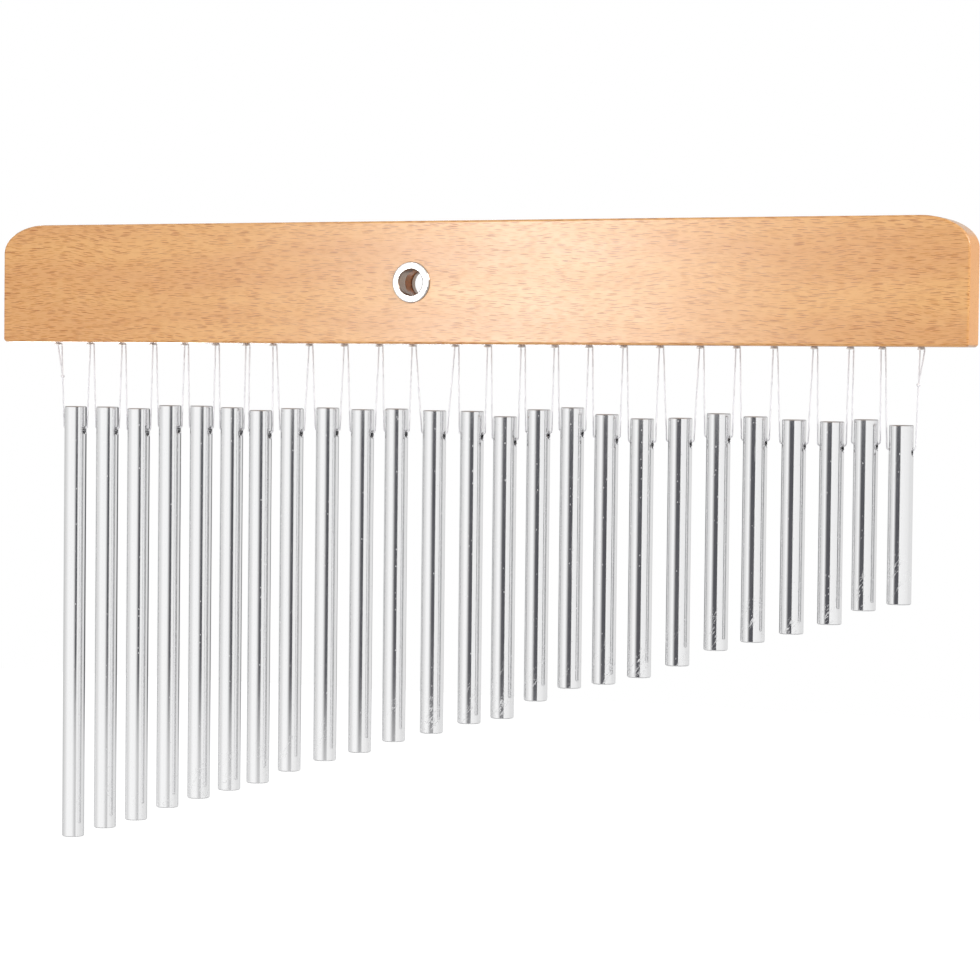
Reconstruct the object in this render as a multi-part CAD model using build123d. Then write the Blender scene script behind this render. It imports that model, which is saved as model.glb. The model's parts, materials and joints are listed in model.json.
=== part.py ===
from build123d import *
import math
import os

# Bar chimes: tuned metal bars hung in a row under a drilled wooden beam, on one nylon line that
# is laced from tack to tack and through a cross hole near the top of every bar.
# Sizes are millimetres. The origin is the middle of the stand bore. +X runs along the beam towards
# the short bars, +Y from its front face to its back face, and +Z is up.

# Bars
BAR_COUNT = 25
BAR_DIAMETER = 9.5
BAR_GAP = 5.85
LONGEST_BAR = 186.0
SHORTEST_BAR = 69.0
BAR_END_CHAMFER = 0.35
BAR_DROP = 27.0
CROSS_HOLE_DIAMETER = 3.0
CROSS_HOLE_BELOW_TOP = 10.3
CROSS_HOLE_BREAK = 0.4

# Beam
LEFT_MARGIN = 22.7
RIGHT_MARGIN = 18.55
BEAM_HEIGHT = 50.0
BEAM_THICKNESS = 15.0
TOP_CORNER_LENGTH = 20.0
TOP_CORNER_HEIGHT = 12.0
BOTTOM_CORNER_RADIUS = 1.5
BEAM_EDGE_RADIUS = 1.0

# Stand bore and the two eyelets that line its mouths
BORE_FROM_LEFT_END = 193.5
BORE_RADIUS = 5.3
EYELET_WALL = 0.4
EYELET_CLEARANCE = 0.05
FLANGE_RADIUS = 8.4
FLANGE_HEIGHT = 0.9
MOUTH_ROUND = 0.6
FRONT_BARREL_LENGTH = 5.5
REAR_BARREL_LENGTH = 2.5

# Tacks under the beam
TACK_SHANK_RADIUS = 0.55
TACK_SHANK_LENGTH = 12.0
TACK_POINT_LENGTH = 1.5
TACK_HOLE_CLEARANCE = 0.02
TACK_HEAD_RADIUS = 1.55
TACK_HEAD_RIM = 0.2
TACK_HEAD_DOME = 0.3

# Nylon line
LINE_DIAMETER = 0.6
LINE_BEND = 0.9
LINE_CLEARANCE = 0.05
HEAD_CLEARANCE = 0.15
BAR_SEAT_GAP = 0.3
KNOT_RADIUS = 0.8
KNOT_DROP = 13.0

# The tacks are set by hand and the line is laced by hand, so neither is quite even.
# How far each tack strays along the beam, as a share of the gap between bars.
TACK_STRAY = (
    0, 0.1, 0.15, 0.1, 0.1, 0, -0.15, -0.6, -0.35, -0.2, -0.1, -0.15, 0.5,
    0.35, 0.25, 0.1, 0, -0.1, -0.1, 0.15, 0.1, 0.1, 0.25, 0.1, -0.35, -0.35,
)
# How much lower than BAR_DROP each bar hangs.
LINE_SLACK = (
    0.5, 0.5, 1, -0.5, -0.5, 0, 1, 0, -0.5, 0, -0.5, 0, 0,
    2, -1, -2, 0.5, 2, 1.5, -0.5, 0.5, 1.5, 2, 1, 3,
)

# Places that follow from the sizes
TACK_PITCH = BAR_DIAMETER + BAR_GAP
BEAM_LENGTH = LEFT_MARGIN + BAR_COUNT * TACK_PITCH + RIGHT_MARGIN
BEAM_LEFT = -BORE_FROM_LEFT_END
BEAM_RIGHT = BEAM_LEFT + BEAM_LENGTH
BEAM_TOP = BEAM_HEIGHT / 2
UNDERSIDE = -BEAM_HEIGHT / 2
BAR_RADIUS = BAR_DIAMETER / 2
LINE_RADIUS = LINE_DIAMETER / 2
TACK_NECK = LINE_DIAMETER + 2 * LINE_CLEARANCE
TACK_HEAD_HEIGHT = TACK_HEAD_RIM + TACK_HEAD_DOME
TURN_RADIUS = TACK_SHANK_RADIUS + LINE_CLEARANCE + LINE_RADIUS
TURN_LEVEL = UNDERSIDE - TACK_NECK / 2
HANG_BACK = TACK_HEAD_RADIUS + LINE_RADIUS + HEAD_CLEARANCE
SWING_LEVEL = UNDERSIDE - TACK_NECK - TACK_HEAD_HEIGHT - LINE_RADIUS - HEAD_CLEARANCE
LINE_BELOW_TOP = CROSS_HOLE_BELOW_TOP - CROSS_HOLE_DIAMETER / 2 + BAR_SEAT_GAP + LINE_RADIUS
STRAND_OFFSET = BAR_RADIUS + LINE_CLEARANCE + LINE_BEND
WOOD_BORE_RADIUS = BORE_RADIUS + EYELET_WALL + EYELET_CLEARANCE


def tack_place(index):
    """Where a tack stands along the beam."""
    stray = TACK_STRAY[index % len(TACK_STRAY)] * BAR_GAP
    return BEAM_LEFT + LEFT_MARGIN + index * TACK_PITCH + stray


def bar_place(index):
    """A bar hangs midway between its two tacks."""
    return (tack_place(index) + tack_place(index + 1)) / 2


def bar_top(index):
    """The level of a bar's upper end."""
    return UNDERSIDE - BAR_DROP - LINE_SLACK[index % len(LINE_SLACK)]


def bar_length(index):
    """The bars shorten in equal steps from left to right."""
    return LONGEST_BAR - (LONGEST_BAR - SHORTEST_BAR) * index / max(BAR_COUNT - 1, 1)


def tube(path):
    """The nylon line along a path."""
    return sweep((path ^ 0) * Circle(LINE_RADIUS), path=path)


def beam():
    """The wooden beam, its upper corners rounded off as quarter ellipses, drilled for the stand and the tacks."""
    shoulder = BEAM_TOP - TOP_CORNER_HEIGHT
    crown_left = BEAM_LEFT + TOP_CORNER_LENGTH
    crown_right = BEAM_RIGHT - TOP_CORNER_LENGTH
    with BuildPart() as body:
        with BuildSketch(Plane.XZ.offset(-BEAM_THICKNESS / 2)) as outline:
            with BuildLine():
                Polyline(
                    (BEAM_LEFT, shoulder),
                    (BEAM_LEFT, UNDERSIDE),
                    (BEAM_RIGHT, UNDERSIDE),
                    (BEAM_RIGHT, shoulder),
                )
                EllipticalCenterArc((crown_right, shoulder), TOP_CORNER_LENGTH, TOP_CORNER_HEIGHT, 0)
                Line((crown_right, BEAM_TOP), (crown_left, BEAM_TOP))
                EllipticalCenterArc((crown_left, shoulder), TOP_CORNER_LENGTH, TOP_CORNER_HEIGHT, 90)
            make_face()
            fillet(outline.vertices().group_by(Axis.Y)[0], BOTTOM_CORNER_RADIUS)
        extrude(amount=BEAM_THICKNESS)
        faces_across = body.faces().filter_by(Axis.Y)
        fillet(faces_across.edges(), BEAM_EDGE_RADIUS)
        with Locations(Location((0, 0, 0), (90, 0, 0))):
            Cylinder(WOOD_BORE_RADIUS, BEAM_THICKNESS, mode=Mode.SUBTRACT)
        with Locations([(tack_place(index), 0, UNDERSIDE) for index in range(BAR_COUNT + 1)]):
            Cylinder(
                TACK_SHANK_RADIUS + TACK_HOLE_CLEARANCE,
                TACK_SHANK_LENGTH + TACK_HOLE_CLEARANCE,
                align=(Align.CENTER, Align.CENTER, Align.MIN),
                mode=Mode.SUBTRACT,
            )
    return body.part


def eyelet(seat, barrel_length):
    """A flanged ring on a face of the beam, with a barrel that lines the mouth of the bore."""
    outer = BORE_RADIUS + EYELET_WALL
    with BuildPart() as ring:
        with BuildSketch(Plane.XZ):
            with BuildLine():
                Polyline(
                    (FLANGE_RADIUS, 0),
                    (outer, 0),
                    (outer, -barrel_length),
                    (BORE_RADIUS, -barrel_length),
                    (BORE_RADIUS, FLANGE_HEIGHT - MOUTH_ROUND),
                )
                crest = BORE_RADIUS + MOUTH_ROUND
                brow = FLANGE_RADIUS - FLANGE_HEIGHT
                RadiusArc((BORE_RADIUS, FLANGE_HEIGHT - MOUTH_ROUND), (crest, FLANGE_HEIGHT), MOUTH_ROUND)
                Line((crest, FLANGE_HEIGHT), (brow, FLANGE_HEIGHT))
                RadiusArc((brow, FLANGE_HEIGHT), (FLANGE_RADIUS, 0), FLANGE_HEIGHT)
            make_face()
        revolve(axis=Axis.Z)
    return seat * ring.part


def tack():
    """A round-headed tack, point up, with the underside of the beam at its own level zero."""
    rim_top = -TACK_NECK
    rim_bottom = rim_top - TACK_HEAD_RIM
    dome = rim_bottom - TACK_HEAD_DOME
    dome_radius = (TACK_HEAD_RADIUS ** 2 + TACK_HEAD_DOME ** 2) / (2 * TACK_HEAD_DOME)
    with BuildPart() as body:
        with BuildSketch(Plane.XZ):
            with BuildLine():
                Polyline(
                    (0, dome),
                    (0, TACK_SHANK_LENGTH),
                    (TACK_SHANK_RADIUS, TACK_SHANK_LENGTH - TACK_POINT_LENGTH),
                    (TACK_SHANK_RADIUS, rim_top),
                    (TACK_HEAD_RADIUS, rim_top),
                    (TACK_HEAD_RADIUS, rim_bottom),
                )
                RadiusArc((TACK_HEAD_RADIUS, rim_bottom), (0, dome), dome_radius)
            make_face()
        revolve(axis=Axis.Z)
    return body.part


def line_turn(x):
    """The stretch of line that goes round a tack's neck and over the back of its head."""
    foot = SWING_LEVEL + LINE_RADIUS + LINE_CLEARANCE
    with BuildLine() as path:
        FilletPolyline(
            (x - TURN_RADIUS, HANG_BACK, foot),
            (x - TURN_RADIUS, HANG_BACK, TURN_LEVEL),
            (x - TURN_RADIUS, 0, TURN_LEVEL),
            radius=LINE_DIAMETER,
        )
        ThreePointArc(
            (x - TURN_RADIUS, 0, TURN_LEVEL),
            (x, -TURN_RADIUS, TURN_LEVEL),
            (x + TURN_RADIUS, 0, TURN_LEVEL),
        )
        FilletPolyline(
            (x + TURN_RADIUS, 0, TURN_LEVEL),
            (x + TURN_RADIUS, HANG_BACK, TURN_LEVEL),
            (x + TURN_RADIUS, HANG_BACK, foot),
            radius=LINE_DIAMETER,
        )
    return tube(path.wire())


def hanger_line(index):
    """The loop of line that carries one bar: down from a tack, through the bar and up to the next."""
    x = bar_place(index)
    level = bar_top(index) - LINE_BELOW_TOP
    left = Vector(tack_place(index) + TURN_RADIUS, HANG_BACK, SWING_LEVEL)
    right = Vector(tack_place(index + 1) - TURN_RADIUS, HANG_BACK, SWING_LEVEL)
    left_corner = Vector(x - STRAND_OFFSET, HANG_BACK, level)
    right_corner = Vector(x + STRAND_OFFSET, HANG_BACK, level)
    loop = tube(FilletPolyline(left, left_corner, right_corner, right, radius=LINE_BEND))
    loop += [Pos(end) * Sphere(LINE_RADIUS) for end in (left, right)]
    if index == 0:
        loop += tied_end(left, left_corner, tack_place(0) - TURN_RADIUS)
    if index == BAR_COUNT - 1:
        loop += tied_end(right, right_corner, tack_place(BAR_COUNT) + TURN_RADIUS)
    return loop


def tied_end(strand_top, strand_foot, far_side):
    """The end of the line comes back from the far side of its tack and is knotted to its own strand."""
    knot = strand_top + (strand_foot - strand_top).normalized() * KNOT_DROP
    start = Vector(far_side, HANG_BACK, SWING_LEVEL)
    return tube(Line(start, knot)) + Pos(start) * Sphere(LINE_RADIUS) + Pos(knot) * Sphere(KNOT_RADIUS)


def bar(index):
    """A solid round bar with chamfered ends and a cross hole for the line."""
    x = bar_place(index)
    top = bar_top(index)
    length = bar_length(index)
    rod = Pos(x, HANG_BACK, top - length / 2) * Cylinder(BAR_RADIUS, length)
    rod = chamfer(rod.edges().filter_by(GeomType.CIRCLE), BAR_END_CHAMFER)
    hole_radius = CROSS_HOLE_DIAMETER / 2
    along_hole = Pos(x, HANG_BACK, top - CROSS_HOLE_BELOW_TOP) * Rot(0, 90, 0)
    rod -= along_hole * Cylinder(hole_radius, BAR_DIAMETER)
    mouth = Cone(hole_radius, hole_radius + CROSS_HOLE_BREAK, CROSS_HOLE_BREAK)
    mouth_depth = BAR_RADIUS - CROSS_HOLE_BREAK / 2
    rod -= along_hole * Pos(0, 0, mouth_depth) * mouth
    rod -= along_hole * Rot(180, 0, 0) * Pos(0, 0, mouth_depth) * mouth
    return rod


def line_length():
    """About how much line the whole set takes, loops and turns together."""
    total = 0
    for index in range(BAR_COUNT):
        half_span = (tack_place(index + 1) - tack_place(index)) / 2
        drop = SWING_LEVEL - bar_top(index) + LINE_BELOW_TOP
        strand = math.hypot(half_span - TURN_RADIUS - STRAND_OFFSET, drop)
        total += 2 * strand + 2 * STRAND_OFFSET
    return total + (BAR_COUNT + 1) * (math.pi * TURN_RADIUS + 2 * HANG_BACK) + 2 * KNOT_DROP


os.makedirs("parts", exist_ok=True)


def write(name, *solids):
    """Write the solids of one node."""
    shape = solids[0] if len(solids) == 1 else Compound(children=list(solids))
    export_step(shape, f"parts/{name}.step")


front_seat = Plane((0, -BEAM_THICKNESS / 2, 0), x_dir=(1, 0, 0), z_dir=(0, -1, 0))
rear_seat = Plane((0, BEAM_THICKNESS / 2, 0), x_dir=(1, 0, 0), z_dir=(0, 1, 0))
tack_places = [tack_place(index) for index in range(BAR_COUNT + 1)]

write("beam", beam())
write("front_eyelet", eyelet(front_seat, FRONT_BARREL_LENGTH))
write("rear_eyelet", eyelet(rear_seat, REAR_BARREL_LENGTH))
write("tacks", *[Pos(x, 0, UNDERSIDE) * tack() for x in tack_places])
write("line_turns", *[line_turn(x) for x in tack_places])
for number in range(BAR_COUNT):
    write(f"hanger_line_{number + 1:02d}", hanger_line(number))
    write(f"bar_{number + 1:02d}", bar(number))

print(f"beam {BEAM_LENGTH:.1f} long, tacks {TACK_PITCH:.2f} apart, line {line_length():.0f} long")
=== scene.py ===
import json
import math

import bpy
from mathutils import Matrix, Vector


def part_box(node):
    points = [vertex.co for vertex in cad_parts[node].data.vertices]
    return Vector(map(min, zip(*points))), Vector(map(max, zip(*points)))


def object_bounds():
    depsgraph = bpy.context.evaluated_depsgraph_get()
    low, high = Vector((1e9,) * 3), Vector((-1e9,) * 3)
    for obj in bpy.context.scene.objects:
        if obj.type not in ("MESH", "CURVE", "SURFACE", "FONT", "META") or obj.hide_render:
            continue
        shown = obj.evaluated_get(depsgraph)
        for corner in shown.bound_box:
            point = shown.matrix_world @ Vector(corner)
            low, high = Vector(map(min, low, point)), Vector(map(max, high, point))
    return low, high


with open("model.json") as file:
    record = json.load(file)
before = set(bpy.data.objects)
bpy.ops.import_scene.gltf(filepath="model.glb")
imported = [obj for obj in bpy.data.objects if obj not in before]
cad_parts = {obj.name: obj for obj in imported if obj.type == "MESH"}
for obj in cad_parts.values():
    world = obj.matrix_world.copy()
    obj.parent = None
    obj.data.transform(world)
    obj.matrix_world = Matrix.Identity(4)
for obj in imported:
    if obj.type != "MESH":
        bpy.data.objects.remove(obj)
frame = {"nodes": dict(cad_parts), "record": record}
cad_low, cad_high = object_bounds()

# Bar chimes: a beech beam, plated eyelets, steel tacks, a nylon line and polished aluminium bars.
# Everything is in metres, in the frame's own axes: +X along the beam, +Y to its back, +Z up.

NODES = frame["nodes"]
BAR_NODES = sorted(name for name in NODES if name.startswith("bar_"))
LINE_NODES = sorted(name for name in NODES if name.startswith("hanger_line_")) + ["line_turns"]
EYELET_NODES = ["front_eyelet", "rear_eyelet"]
BORE_RADIUS = frame["record"]["mounts"][0]["dims"]["r_mm"] / 1000
FLANGE_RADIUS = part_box("front_eyelet")[1].x

# The camera stands to the right of the beam and a little below it.
CAMERA_PLACE = Vector((0.5157, -1.1337, -0.0407))
CAMERA_YAW = math.radians(23.08)
CAMERA_PITCH = math.radians(-2.01)
CAMERA_ROLL = math.radians(0.63)
CAMERA_LENS = 111.64
CAMERA_SENSOR = 36.0

# Colours, linear
BEECH_PALE = (0.735, 0.385, 0.13, 1)
BEECH_WARM = (0.67, 0.325, 0.11, 1)
BEECH_FLECK = (0.36, 0.10, 0.008, 1)
BEECH_PORE = (0.52, 0.20, 0.03, 1)
BEECH_LIGHT = (0.82, 0.48, 0.21, 1)
BEECH_END = (0.75, 0.37, 0.15, 1)
BAR_METAL = (0.92, 0.92, 0.925, 1)
# Bars' cut ends: partly duller sawn metal, partly painted shade that stands for the shaded underside of
# the beam mirrored in them.
BAR_END_METAL_AND_SHADE = (0.52, 0.52, 0.53, 1)
PLATED_METAL = (0.93, 0.92, 0.90, 1)
# Inside the eyelets' barrels: painted shade and a painted reflection of the brown bore.
BARREL_PAINTED_SHADE = (0.36, 0.27, 0.21, 1)
# Round the eyelets' rims: a painted contact shadow.
RIM_PAINTED_SHADOW = (0.30, 0.26, 0.23, 1)
TACK_STEEL = (0.76, 0.71, 0.67, 1)
TACK_RUST = (0.54, 0.43, 0.35, 1)
NYLON = (0.78, 0.77, 0.80, 1)
NYLON_MILKY = (0.88, 0.87, 0.89, 1)
WHITE = (1, 1, 1, 1)
FLOOR_PALE = (0.92, 0.92, 0.92, 1)
CARD_PALE = (0.9, 0.9, 0.9, 1)
CARD_DARK = (0.09, 0.09, 0.10, 1)

# A size with three values is the size of a pattern's cells along X, Y and Z.
# A pair called EDGES is where a pattern starts to show and where it shows in full.
# A pair called SHEEN is the roughness of the smoothest and the roughest places.

# Scratches and flecks
SCRATCH_EDGE = 0.08
SCRATCH_PATCH_SCALE = 0.13
SCRATCH_PATCH_EDGES = (0.45, 0.62)
FLECK_CORE = 0.75
FLECK_FILLING = 0.4
SHEEN_EDGES = (0.3, 0.7)

# Beech: the grain falls a little towards the short bars, and wanders.
GRAIN_FALL = math.radians(1.1)
WANDER_SIZE = (0.05, 0.05, 0.02)
WANDER_RISE = 0.007
BAND_SIZE = (0.14, 0.03, 0.012)
BAND_EDGES = (0.32, 0.68)
FIBRE_SIZE = (0.009, 0.0006, 0.00032)
LIGHT_FIBRE_EDGES = (0.42, 0.28)
LIGHT_FIBRE_STRENGTH = 0.5
DARK_FIBRE_EDGES = (0.52, 0.66)
DARK_FIBRE_STRENGTH = 0.3
PORE_SIZE = (0.0052, 0.001, 0.00033)
PORE_REACH = 0.36
PORE_EMPTY = -0.2
FLECK_SIZE = (0.0076, 0.0012, 0.00044)
FLECK_REACH = 0.34
FLECK_EMPTY = 0.0
FLECK_STRENGTH = 0.9
PORE_DEPTH_SHARE = 0.5
GRAIN_DEPTH = 0.0001
GRAIN_RELIEF = 0.1
END_GRAIN_EDGES = (0.7, 0.95)
END_GRAIN_STRENGTH = 0.6
END_GRAIN_ROUGHER = 0.3
LACQUER_SIZE = (0.03, 0.01, 0.006)
LACQUER_SHEEN = (0.21, 0.26)
LACQUER_WEIGHT = 0.4
LACQUER_ROUGHNESS = 0.22

# Bars: drawn lines along them, pits, scuffs at a slant near their feet, sawn ends.
DRAWN_LINE_SIZE = (0.0004, 0.0004, 0.014)
DRAWN_LINE_AMOUNT = 0.8
DRAWN_LINE_SPARSE = 0.6
DRAWN_LINE_ROUGHER = 0.2
PIT_SIZE = (0.0013, 0.0013, 0.0024)
PIT_REACH = 0.17
PIT_EMPTY = 0.4
SCUFF_SIZE = (0.0007, 0.0007, 0.0035)
SCUFF_SLANT = math.radians(35)
SCUFF_HEIGHTS = (0.004, 0.022)
SCUFF_AMOUNTS = (1.8, 0.1)
SCUFF_SPARSE = 0.54
SCUFF_WEIGHT = 1.2
WORN_ROUGHER = 0.3
WORN_DEPTH = 0.6
MARK_DEPTH = 0.0001
MARK_RELIEF = 0.2
SAW_LINE_SIZE = (0.03, 0.0002, 0.03)
SAW_LINE_HEIGHT = 0.1
WAVER_SIZE = (0.007, 0.007, 0.035)
WAVER_DEPTH = 0.00002
POLISH_SIZE = (0.003, 0.003, 0.05)
POLISH_SHEEN = (0.08, 0.15)
CUT_END_EDGES = (0.5, 0.8)
CUT_END_ROUGHER = 0.3
CUT_END_METALLIC = 0.3

# The bars' feet rise evenly along the row: their level at X = 0, and their rise with X.
FIRST_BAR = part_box(BAR_NODES[0])[0]
LAST_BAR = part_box(BAR_NODES[-1])[0]
FOOT_RISE = (LAST_BAR.z - FIRST_BAR.z) / (LAST_BAR.x - FIRST_BAR.x)
FOOT_LEVEL = FIRST_BAR.z - FOOT_RISE * FIRST_BAR.x

# Eyelets: dull on the bore's wall with painted shade and a painted reflection of the brown bore there, and
# a painted contact shadow round the flange's rim.
BARREL_EDGES = (BORE_RADIUS + 0.0005, BORE_RADIUS + 0.0002)
BARREL_ROUGHER = 0.15
CREASE_EDGES = (FLANGE_RADIUS - 0.0005, FLANGE_RADIUS - 0.0001)
CREASE_STRENGTH = 0.9
PLATE_SCRATCH_SIZE = (0.003, 0.0004, 0.0004)
PLATE_SCRATCH_AMOUNT = 0.5
PLATE_SCRATCH_SPARSE = 0.6
PLATE_SCRATCH_ROUGHER = 0.2
PLATE_SCRATCH_DEPTH = 0.0001
PLATE_SCRATCH_RELIEF = 0.3
PLATE_SIZE = (0.002, 0.002, 0.002)
PLATE_SHEEN = (0.08, 0.16)

# Tacks
RUST_SIZE = (0.0012, 0.0012, 0.0012)
RUST_REACH = 0.6
RUST_EMPTY = 0.4
STEEL_SIZE = (0.001, 0.001, 0.001)
STEEL_SHEEN = (0.35, 0.55)
STEEL_METALLIC = 0.85

# Line
MILKY_SIZE = (0.002, 0.002, 0.006)
NYLON_SHEEN = (0.2, 0.4)
NYLON_IOR = 1.53
NYLON_CLEARNESS = 0.1

# Studio: floor, and a wall with an apron whose tones go by bearing in degrees, from the front to the right
FLOOR_DROP = 0.6
FLOOR_LEVEL = cad_low.z - FLOOR_DROP
FLOOR_SIZE = 12.0
FLOOR_GLOW = 0.75
WORLD_FILL = 0.335
SURROUND_RADIUS = 2.2
SURROUND_HEIGHT = 1.4
SURROUND_STEPS = 96
SURROUND_TONES = (
    (-180, 0.66), (-100, 0.62), (-82, 0.72), (-65, 0.80), (-50, 0.93), (-36, 1.0), (0, 0.98), (40, 0.95),
    (65, 0.92), (90, 0.88), (112, 0.80), (135, 0.80), (160, 0.78), (180, 0.66),
)
APRON_RADIUS = 0.15
APRON_LIFT = 0.002

# Studio: dark cards in front of the bars and behind them
CARD_DISTANCE = 0.28
CARD_CENTRE = 0.095
CARD_WIDTH = 0.32
CARD_TOP = -0.045
CARD_FOOT = cad_low.z - FLOOR_DROP / 2
CARD_FADE_LEVELS = (-0.25, -0.19)
CARD_FADED = 0.35

# Studio: each lamp's place, the point that it faces, its width, its height and its power
LAMPS = {
    "key": ((-0.51, -1.40, 0.10), (0.05, 0, -0.05), 0.18, 1.2, 9.6),
    "fill": ((1.7, -0.6, 0.8), (0.1, 0, -0.05), 0.8, 0.8, 28),
    "back": ((-0.9, 1.25, -0.15), (0, 0, -0.05), 1.0, 1.0, 16),
}


# Node helpers

def add_node(tree, kind, sockets=None, **settings):
    """A node with its settings, and with each named socket linked or set."""
    made = tree.nodes.new(kind)
    for name, value in settings.items():
        setattr(made, name, value)
    for name, value in (sockets or {}).items():
        connect(tree, value, made.inputs[name])
    return made


def connect(tree, value, socket):
    """Link a socket to another, or set its value."""
    if isinstance(value, bpy.types.NodeSocket):
        tree.links.new(value, socket)
    else:
        socket.default_value = value


def calc(tree, operation, *values):
    """One step of arithmetic on one, two or three values."""
    made = add_node(tree, "ShaderNodeMath", operation=operation)
    for value, socket in zip(values, made.inputs):
        connect(tree, value, socket)
    return made.outputs[0]


def times(tree, first, second):
    """The product of two values."""
    return calc(tree, "MULTIPLY", first, second)


def plus(tree, first, second):
    """The sum of two values."""
    return calc(tree, "ADD", first, second)


def mix_colour(tree, factor, first, second):
    """One colour laid over another. A Mix node's colours are its inputs 6 and 7 and its output 2."""
    made = add_node(tree, "ShaderNodeMix", data_type="RGBA")
    connect(tree, factor, made.inputs[0])
    connect(tree, first, made.inputs[6])
    connect(tree, second, made.inputs[7])
    return made.outputs[2]


def remap(tree, value, low, high, to_low=0.0, to_high=1.0, ease="SMOOTHSTEP"):
    """A value carried from one range into another, eased at its ends unless another way is named."""
    made = add_node(tree, "ShaderNodeMapRange", interpolation_type=ease)
    for socket, setting in zip(made.inputs, (value, low, high, to_low, to_high)):
        connect(tree, setting, socket)
    return made.outputs[0]


def stretched(tree, place, size, turn=0.0):
    """Coordinates in which a pattern of unit cells is turned about Y and has cells of this size."""
    sockets = {"Vector": place, "Rotation": (0, turn, 0), "Scale": size}
    return add_node(tree, "ShaderNodeMapping", sockets, vector_type="TEXTURE").outputs[0]


def noise(tree, vector, detail=2.0, roughness=0.5, scale=1.0):
    """Soft noise, with cells of unit size at a scale of one."""
    sockets = {"Vector": vector, "Scale": scale, "Detail": detail, "Roughness": roughness}
    return add_node(tree, "ShaderNodeTexNoise", sockets).outputs["Fac"]


def relief(tree, height, depth, strength, under=None):
    """A bumpy normal, laid over another one if that is given."""
    sockets = {"Strength": strength, "Distance": depth, "Height": height}
    if under is not None:
        sockets["Normal"] = under
    return add_node(tree, "ShaderNodeBump", sockets).outputs[0]


def new_group(name, inputs, output):
    """An empty node group with named sockets; returns its tree, its inputs and its output socket."""
    tree = bpy.data.node_groups.new(name, "ShaderNodeTree")
    for socket, kind in inputs.items():
        tree.interface.new_socket(name=socket, in_out="INPUT", socket_type=kind)
    tree.interface.new_socket(name=output, in_out="OUTPUT", socket_type="NodeSocketFloat")
    return tree, tree.nodes.new("NodeGroupInput").outputs, tree.nodes.new("NodeGroupOutput").inputs[output]


def use_group(tree, group, sockets):
    """Place a node group in a material; returns what it puts out."""
    return add_node(tree, "ShaderNodeGroup", sockets, node_tree=group).outputs[0]


def new_material(name):
    """An empty material; returns it and its tree."""
    material = bpy.data.materials.new(name)
    material.use_nodes = True
    material.node_tree.nodes.clear()
    return material, material.node_tree


def finish_material(tree, kind, sockets):
    """Make the shader and wire it to the surface."""
    shader = add_node(tree, kind, sockets)
    add_node(tree, "ShaderNodeOutputMaterial", {"Surface": shader.outputs[0]})


def object_coordinates(tree):
    """Where a point is, in metres, in the frame's own axes, and which way its surface faces."""
    outputs = add_node(tree, "ShaderNodeTexCoord").outputs
    return outputs["Object"], outputs["Normal"]


def split(tree, vector):
    """The three parts of a vector."""
    return add_node(tree, "ShaderNodeSeparateXYZ", {"Vector": vector}).outputs


# Effects that several materials share

def make_scratches():
    """Fine straight scratches along one direction, broken up so that they come and go."""
    inputs = {"Place": "NodeSocketVector", "Amount": "NodeSocketFloat", "Sparse": "NodeSocketFloat"}
    tree, given, mask = new_group("handling_scratches", inputs, "Mask")
    lines = noise(tree, given["Place"], detail=3.0, roughness=0.7)
    thin = remap(tree, lines, given["Sparse"], plus(tree, given["Sparse"], SCRATCH_EDGE))
    patches = noise(tree, given["Place"], detail=1.0, scale=SCRATCH_PATCH_SCALE)
    here = remap(tree, patches, *SCRATCH_PATCH_EDGES)
    connect(tree, times(tree, times(tree, thin, here), given["Amount"]), mask)
    return tree


def make_flecks():
    """Scattered long spots, each in its own cell, with some cells left empty."""
    inputs = {"Place": "NodeSocketVector", "Reach": "NodeSocketFloat", "Empty": "NodeSocketFloat"}
    tree, given, mask = new_group("scattered_flecks", inputs, "Mask")
    sockets = {"Vector": given["Place"], "Scale": 1.0, "Randomness": 1.0}
    cells = add_node(tree, "ShaderNodeTexVoronoi", sockets).outputs
    chance = add_node(tree, "ShaderNodeSeparateColor", {"Color": cells["Color"]}).outputs[0]
    spot = remap(tree, cells["Distance"], given["Reach"], times(tree, given["Reach"], FLECK_CORE))
    filled = remap(tree, chance, given["Empty"], plus(tree, given["Empty"], FLECK_FILLING))
    connect(tree, times(tree, spot, filled), mask)
    return tree


def make_uneven_sheen():
    """Roughness that drifts over a surface, as polish and lacquer do."""
    inputs = {"Place": "NodeSocketVector", "Smoothest": "NodeSocketFloat", "Roughest": "NodeSocketFloat"}
    tree, given, roughness = new_group("uneven_sheen", inputs, "Roughness")
    drift = noise(tree, given["Place"], detail=4.0, roughness=0.6)
    connect(tree, remap(tree, drift, *SHEEN_EDGES, given["Smoothest"], given["Roughest"]), roughness)
    return tree


SCRATCHES = make_scratches()
FLECKS = make_flecks()
UNEVEN_SHEEN = make_uneven_sheen()


def scratches_on(tree, place, amount, sparse):
    """Scratches placed in a material; returns their mask."""
    sockets = {"Place": place, "Amount": amount, "Sparse": sparse}
    return use_group(tree, SCRATCHES, sockets)


def flecks_on(tree, place, reach, empty):
    """Flecks placed in a material; returns their mask."""
    sockets = {"Place": place, "Reach": reach, "Empty": empty}
    return use_group(tree, FLECKS, sockets)


def sheen_on(tree, place, sheen):
    """Uneven sheen placed in a material; returns its roughness."""
    smoothest, roughest = sheen
    sockets = {"Place": place, "Smoothest": smoothest, "Roughest": roughest}
    return use_group(tree, UNEVEN_SHEEN, sockets)


# Finishes

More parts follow.
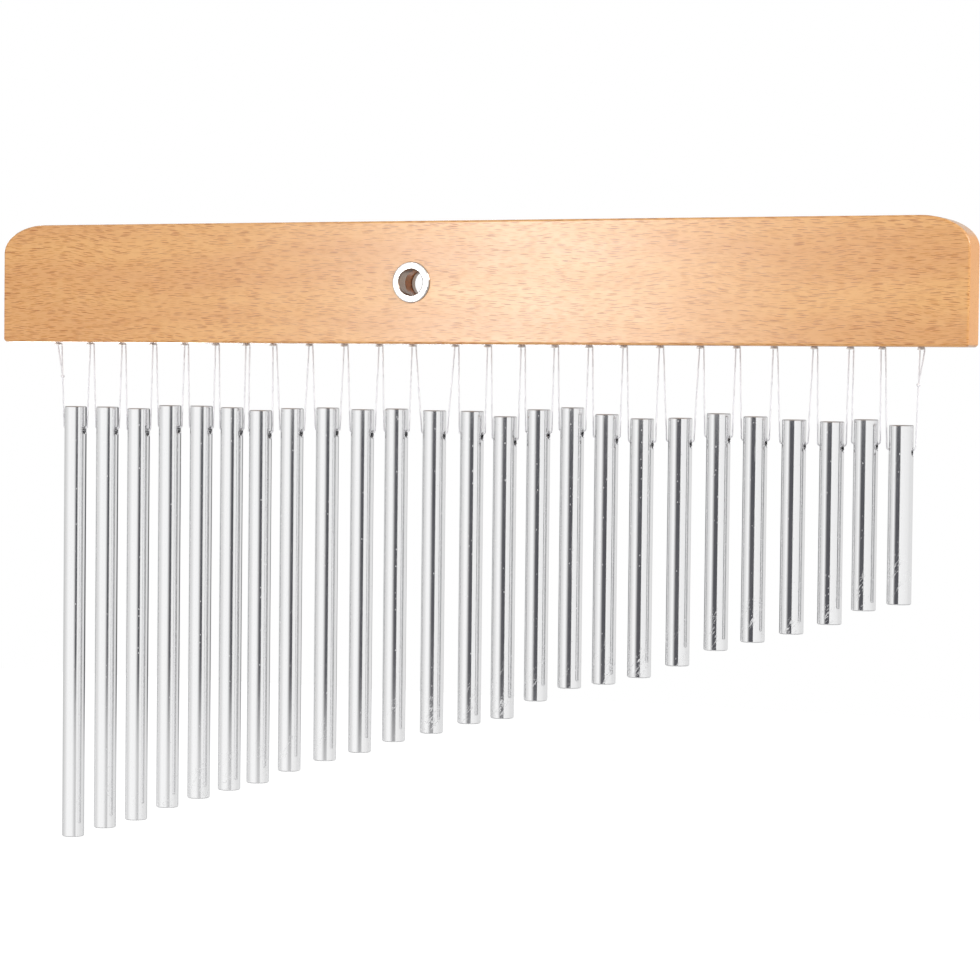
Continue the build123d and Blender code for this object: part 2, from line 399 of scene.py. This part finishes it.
def lacquered_beech():
    """Beech with its short dark flecks, faint long grain and broad warm bands, under satin lacquer."""
    material, tree = new_material("lacquered_beech")
    place, facing = object_coordinates(tree)
    end_grain = remap(tree, calc(tree, "ABSOLUTE", split(tree, facing)["X"]), *END_GRAIN_EDGES)
    wander = times(tree, noise(tree, stretched(tree, place, WANDER_SIZE), detail=1.0), WANDER_RISE)
    shift = add_node(tree, "ShaderNodeCombineXYZ", {"Z": wander}).outputs[0]
    along = add_node(tree, "ShaderNodeVectorMath", {0: place, 1: shift}, operation="ADD").outputs[0]

    bands = noise(tree, stretched(tree, along, BAND_SIZE, GRAIN_FALL), detail=3.0)
    wood = mix_colour(tree, remap(tree, bands, *BAND_EDGES), BEECH_WARM, BEECH_PALE)
    fibres = noise(tree, stretched(tree, along, FIBRE_SIZE, GRAIN_FALL), detail=3.0, roughness=0.6)
    light_fibres = remap(tree, fibres, *LIGHT_FIBRE_EDGES, 0.0, LIGHT_FIBRE_STRENGTH)
    wood = mix_colour(tree, light_fibres, wood, BEECH_LIGHT)
    dark_fibres = remap(tree, fibres, *DARK_FIBRE_EDGES, 0.0, DARK_FIBRE_STRENGTH)
    wood = mix_colour(tree, dark_fibres, wood, BEECH_PORE)
    pores = flecks_on(tree, stretched(tree, along, PORE_SIZE, GRAIN_FALL), PORE_REACH, PORE_EMPTY)
    wood = mix_colour(tree, times(tree, pores, FLECK_STRENGTH), wood, BEECH_PORE)
    flecks = flecks_on(tree, stretched(tree, along, FLECK_SIZE, GRAIN_FALL), FLECK_REACH, FLECK_EMPTY)
    wood = mix_colour(tree, times(tree, flecks, FLECK_STRENGTH), wood, BEECH_FLECK)
    wood = mix_colour(tree, times(tree, end_grain, END_GRAIN_STRENGTH), wood, BEECH_END)

    sheen = sheen_on(tree, stretched(tree, place, LACQUER_SIZE), LACQUER_SHEEN)
    open_grain = plus(tree, flecks, times(tree, pores, PORE_DEPTH_SHARE))
    finish_material(tree, "ShaderNodeBsdfPrincipled", {
        "Base Color": wood,
        "Roughness": plus(tree, sheen, times(tree, end_grain, END_GRAIN_ROUGHER)),
        "Normal": relief(tree, times(tree, open_grain, -1.0), GRAIN_DEPTH, GRAIN_RELIEF),
        "Coat Weight": remap(tree, end_grain, 0.0, 1.0, LACQUER_WEIGHT, 0.0),
        "Coat Roughness": LACQUER_ROUGHNESS,
    })
    return material


def polished_bar():
    """Polished aluminium rod: drawn lines, pits, scuffs, a slightly wavering surface, duller cut ends
    whose darker colour is partly painted shade.
    """
    material, tree = new_material("polished_aluminium")
    place, facing = object_coordinates(tree)
    axes = split(tree, place)
    cut_end = remap(tree, calc(tree, "ABSOLUTE", split(tree, facing)["Z"]), *CUT_END_EDGES)
    above_foot = calc(tree, "SUBTRACT", axes["Z"],
                      calc(tree, "MULTIPLY_ADD", axes["X"], FOOT_RISE, FOOT_LEVEL))
    near_foot = remap(tree, above_foot, *SCUFF_HEIGHTS, *SCUFF_AMOUNTS)

    drawn = scratches_on(tree, stretched(tree, place, DRAWN_LINE_SIZE),
                         DRAWN_LINE_AMOUNT, DRAWN_LINE_SPARSE)
    pits = flecks_on(tree, stretched(tree, place, PIT_SIZE), PIT_REACH, PIT_EMPTY)
    scuffs = scratches_on(tree, stretched(tree, place, SCUFF_SIZE, SCUFF_SLANT), near_foot, SCUFF_SPARSE)
    worn = plus(tree, pits, times(tree, scuffs, SCUFF_WEIGHT))
    marks = plus(tree, times(tree, drawn, DRAWN_LINE_ROUGHER), times(tree, worn, WORN_ROUGHER))
    rougher = plus(tree, marks, times(tree, cut_end, CUT_END_ROUGHER))
    sheen = sheen_on(tree, stretched(tree, place, POLISH_SIZE), POLISH_SHEEN)

    waver = relief(tree, noise(tree, stretched(tree, place, WAVER_SIZE)), WAVER_DEPTH, 1.0)
    saw_lines = times(tree, cut_end, noise(tree, stretched(tree, place, SAW_LINE_SIZE)))
    height = calc(tree, "SUBTRACT", times(tree, saw_lines, SAW_LINE_HEIGHT), times(tree, worn, WORN_DEPTH))
    finish_material(tree, "ShaderNodeBsdfPrincipled", {
        # The cut ends' darker colour is partly duller sawn metal and partly painted shade.
        "Base Color": mix_colour(tree, cut_end, BAR_METAL, BAR_END_METAL_AND_SHADE),
        "Metallic": remap(tree, cut_end, 0.0, 1.0, 1.0, CUT_END_METALLIC),
        "Roughness": plus(tree, sheen, rougher),
        "Normal": relief(tree, height, MARK_DEPTH, MARK_RELIEF, waver),
    })
    return material


def bright_nickel():
    """Nickel-plated, bright on the flange, dull inside the barrel with painted shade and a painted
    reflection of the wood there, and a painted contact shadow where it meets the wood.
    """
    material, tree = new_material("bright_nickel")
    place, _ = object_coordinates(tree)
    axes = split(tree, place)
    squares = plus(tree, calc(tree, "POWER", axes["X"], 2.0), calc(tree, "POWER", axes["Z"], 2.0))
    from_axis = calc(tree, "SQRT", squares)
    barrel = remap(tree, from_axis, *BARREL_EDGES)
    # A painted contact shadow just inside the flange's rim.
    painted_rim_shadow = remap(tree, from_axis, *CREASE_EDGES, 0.0, CREASE_STRENGTH)
    scratches = scratches_on(tree, stretched(tree, place, PLATE_SCRATCH_SIZE),
                             PLATE_SCRATCH_AMOUNT, PLATE_SCRATCH_SPARSE)
    marks = times(tree, scratches, PLATE_SCRATCH_ROUGHER)
    rougher = plus(tree, marks, times(tree, barrel, BARREL_ROUGHER))
    sheen = sheen_on(tree, stretched(tree, place, PLATE_SIZE), PLATE_SHEEN)
    # Painted shade and a painted reflection of the brown bore inside the barrel.
    plate_and_barrel_shade = mix_colour(tree, barrel, PLATED_METAL, BARREL_PAINTED_SHADE)
    finish_material(tree, "ShaderNodeBsdfPrincipled", {
        "Base Color": mix_colour(tree, painted_rim_shadow, plate_and_barrel_shade, RIM_PAINTED_SHADOW),
        "Metallic": 1.0,
        "Roughness": plus(tree, sheen, rougher),
        "Normal": relief(tree, marks, PLATE_SCRATCH_DEPTH, PLATE_SCRATCH_RELIEF),
    })
    return material


def tack_steel():
    """Dull steel with a little brown on it."""
    material, tree = new_material("tack_steel")
    place, _ = object_coordinates(tree)
    rust = flecks_on(tree, stretched(tree, place, RUST_SIZE), RUST_REACH, RUST_EMPTY)
    finish_material(tree, "ShaderNodeBsdfPrincipled", {
        "Base Color": mix_colour(tree, rust, TACK_STEEL, TACK_RUST),
        "Metallic": STEEL_METALLIC,
        "Roughness": sheen_on(tree, stretched(tree, place, STEEL_SIZE), STEEL_SHEEN),
    })
    return material


def clear_nylon():
    """Clear monofilament, milky in places."""
    material, tree = new_material("clear_nylon")
    place, _ = object_coordinates(tree)
    patches = stretched(tree, place, MILKY_SIZE)
    finish_material(tree, "ShaderNodeBsdfPrincipled", {
        "Base Color": mix_colour(tree, noise(tree, patches), NYLON, NYLON_MILKY),
        "Roughness": sheen_on(tree, patches, NYLON_SHEEN),
        "IOR": NYLON_IOR,
        "Transmission Weight": NYLON_CLEARNESS,
    })
    return material


def dress(names, material):
    """Give CAD nodes their finish."""
    for name in names:
        for slot in NODES[name].material_slots:
            slot.material = material


dress(["beam"], lacquered_beech())
dress(BAR_NODES, polished_bar())
dress(EYELET_NODES, bright_nickel())
dress(["tacks"], tack_steel())
dress(LINE_NODES, clear_nylon())


# Studio

def seen_plainly(tree):
    """One where a thing is seen, mirrored or seen through a clear piece, and nought for its light."""
    ray = add_node(tree, "ShaderNodeLightPath").outputs
    seen_or_mirrored = calc(tree, "MAXIMUM", ray["Is Camera Ray"], ray["Is Glossy Ray"])
    return calc(tree, "MAXIMUM", seen_or_mirrored, ray["Is Transmission Ray"])


def stage_mesh(name, points, faces, material):
    """A mesh that belongs to the studio."""
    mesh = bpy.data.meshes.new(name)
    mesh.from_pydata(points, [], faces)
    mesh.materials.append(material)
    thing = bpy.data.objects.new(name, mesh)
    bpy.context.scene.collection.objects.link(thing)
    return thing


def only_mirrored(thing):
    """Let reflections see a stage piece and nothing else."""
    thing.visible_camera = False
    thing.visible_diffuse = False
    thing.visible_shadow = False
    thing.visible_transmission = False


def pale_floor():
    """A pale floor that the camera sees as white where it is lit."""
    material, tree = new_material("pale_floor")
    plain = add_node(tree, "ShaderNodeBsdfDiffuse", {"Color": FLOOR_PALE})
    strength = times(tree, seen_plainly(tree), FLOOR_GLOW)
    glow = add_node(tree, "ShaderNodeEmission", {"Color": WHITE, "Strength": strength})
    finish_material(tree, "ShaderNodeAddShader", {0: plain.outputs[0], 1: glow.outputs[0]})
    half = FLOOR_SIZE / 2
    corners = ((-half, -half), (half, -half), (half, half), (-half, half))
    stage_mesh("floor", [(x, y, FLOOR_LEVEL) for x, y in corners], [(0, 1, 2, 3)], material)


def surround():
    """A round wall and its apron on the floor, for the bars to mirror."""
    material, tree = new_material("surround")
    axes = split(tree, object_coordinates(tree)[0])
    bearing = calc(tree, "ARCTAN2", axes["X"], times(tree, axes["Y"], -1.0))
    share = remap(tree, bearing, -math.pi, math.pi, ease="LINEAR")
    ramp = add_node(tree, "ShaderNodeValToRGB", {"Fac": share})
    stops = ramp.color_ramp.elements
    while len(stops) < len(SURROUND_TONES):
        stops.new(0.5)
    for stop, (angle, tone) in zip(stops, SURROUND_TONES):
        stop.position = (angle + 180) / 360
        stop.color = (tone, tone, tone, 1)
    finish_material(tree, "ShaderNodeEmission", {"Color": ramp.outputs[0]})
    foot = FLOOR_LEVEL + APRON_LIFT
    rings = ((APRON_RADIUS, foot), (SURROUND_RADIUS, foot), (SURROUND_RADIUS, SURROUND_HEIGHT))
    points = []
    for step in range(SURROUND_STEPS):
        angle = 2 * math.pi * step / SURROUND_STEPS
        points += [(radius * math.sin(angle), -radius * math.cos(angle), level) for radius, level in rings]
    count = len(points)
    stride = len(rings)
    faces = []
    for first in range(0, count, stride):
        after = (first + stride) % count
        faces += [(first + k, after + k, after + k + 1, first + k + 1) for k in range(stride - 1)]
    only_mirrored(stage_mesh("surround", points, faces, material))


def dark_card(name, side):
    """A dark card near the bars, soft on one edge and at its foot, for the stripe that they mirror.

    The side is 1 in front of the bars and -1 behind them.
    """
    material, tree = new_material(name)
    axes = split(tree, object_coordinates(tree)[0])
    centre = CARD_CENTRE * side
    across = times(tree, calc(tree, "SUBTRACT", axes["X"], centre), side)
    soft_edge = remap(tree, across, -CARD_WIDTH / 2, 0.0)
    soft_foot = remap(tree, axes["Z"], *CARD_FADE_LEVELS, CARD_FADED, 1.0)
    tone = mix_colour(tree, times(tree, soft_edge, soft_foot), CARD_PALE, CARD_DARK)
    finish_material(tree, "ShaderNodeEmission", {"Color": tone})
    y = -CARD_DISTANCE * side
    left = centre - CARD_WIDTH / 2
    right = centre + CARD_WIDTH / 2
    points = [(left, y, CARD_FOOT), (right, y, CARD_FOOT), (right, y, CARD_TOP), (left, y, CARD_TOP)]
    only_mirrored(stage_mesh(name, points, [(0, 1, 2, 3)], material))


def soft_light(name, place, target, width, height, power):
    """A large soft lamp."""
    lamp = bpy.data.lights.new(name, "AREA")
    lamp.shape = "RECTANGLE"
    lamp.size = width
    lamp.size_y = height
    lamp.energy = power
    holder = bpy.data.objects.new(name, lamp)
    bpy.context.scene.collection.objects.link(holder)
    holder.location = place
    holder.rotation_euler = (Vector(target) - Vector(place)).to_track_quat("-Z", "Y").to_euler()
    return holder


def flag_off(lamp, names):
    """Screen some CAD nodes from a lamp, so that it isn't mirrored in them."""
    screened = bpy.data.collections.new(f"{lamp.name}_screened")
    lamp.light_linking.receiver_collection = screened
    for name in names:
        screened.objects.link(NODES[name])
    for entry in screened.collection_objects:
        entry.light_linking.link_state = "EXCLUDE"


def white_world():
    """White where it is seen or mirrored, and a softer fill light elsewhere."""
    world = bpy.data.worlds.new("studio")
    bpy.context.scene.world = world
    world.use_nodes = True
    tree = world.node_tree
    tree.nodes.clear()
    strength = remap(tree, seen_plainly(tree), 0.0, 1.0, WORLD_FILL, 1.0, ease="LINEAR")
    light = add_node(tree, "ShaderNodeBackground", {"Color": WHITE, "Strength": strength})
    add_node(tree, "ShaderNodeOutputWorld", {"Surface": light.outputs[0]})


def place_camera():
    """The photograph's viewpoint."""
    level_right = Vector((math.cos(CAMERA_YAW), math.sin(CAMERA_YAW), 0))
    level_forward = Vector((-math.sin(CAMERA_YAW), math.cos(CAMERA_YAW), 0))
    forward = level_forward * math.cos(CAMERA_PITCH)
    forward.z = math.sin(CAMERA_PITCH)
    level_up = level_right.cross(forward)
    right = level_right * math.cos(CAMERA_ROLL) + level_up * math.sin(CAMERA_ROLL)
    up = level_up * math.cos(CAMERA_ROLL) - level_right * math.sin(CAMERA_ROLL)
    turn = Matrix((right, up, -forward)).transposed()
    data = bpy.data.cameras.new("camera")
    data.lens = CAMERA_LENS
    data.sensor_width = CAMERA_SENSOR
    camera = bpy.data.objects.new("camera", data)
    bpy.context.scene.collection.objects.link(camera)
    camera.matrix_world = Matrix.Translation(CAMERA_PLACE) @ turn.to_4x4()
    bpy.context.scene.camera = camera


pale_floor()
surround()
dark_card("front_card", 1)
dark_card("back_card", -1)
for lamp_name, lamp_settings in LAMPS.items():
    flag_off(soft_light(lamp_name, *lamp_settings), BAR_NODES)
white_world()
place_camera()
bpy.context.scene.view_settings.view_transform = "Standard"
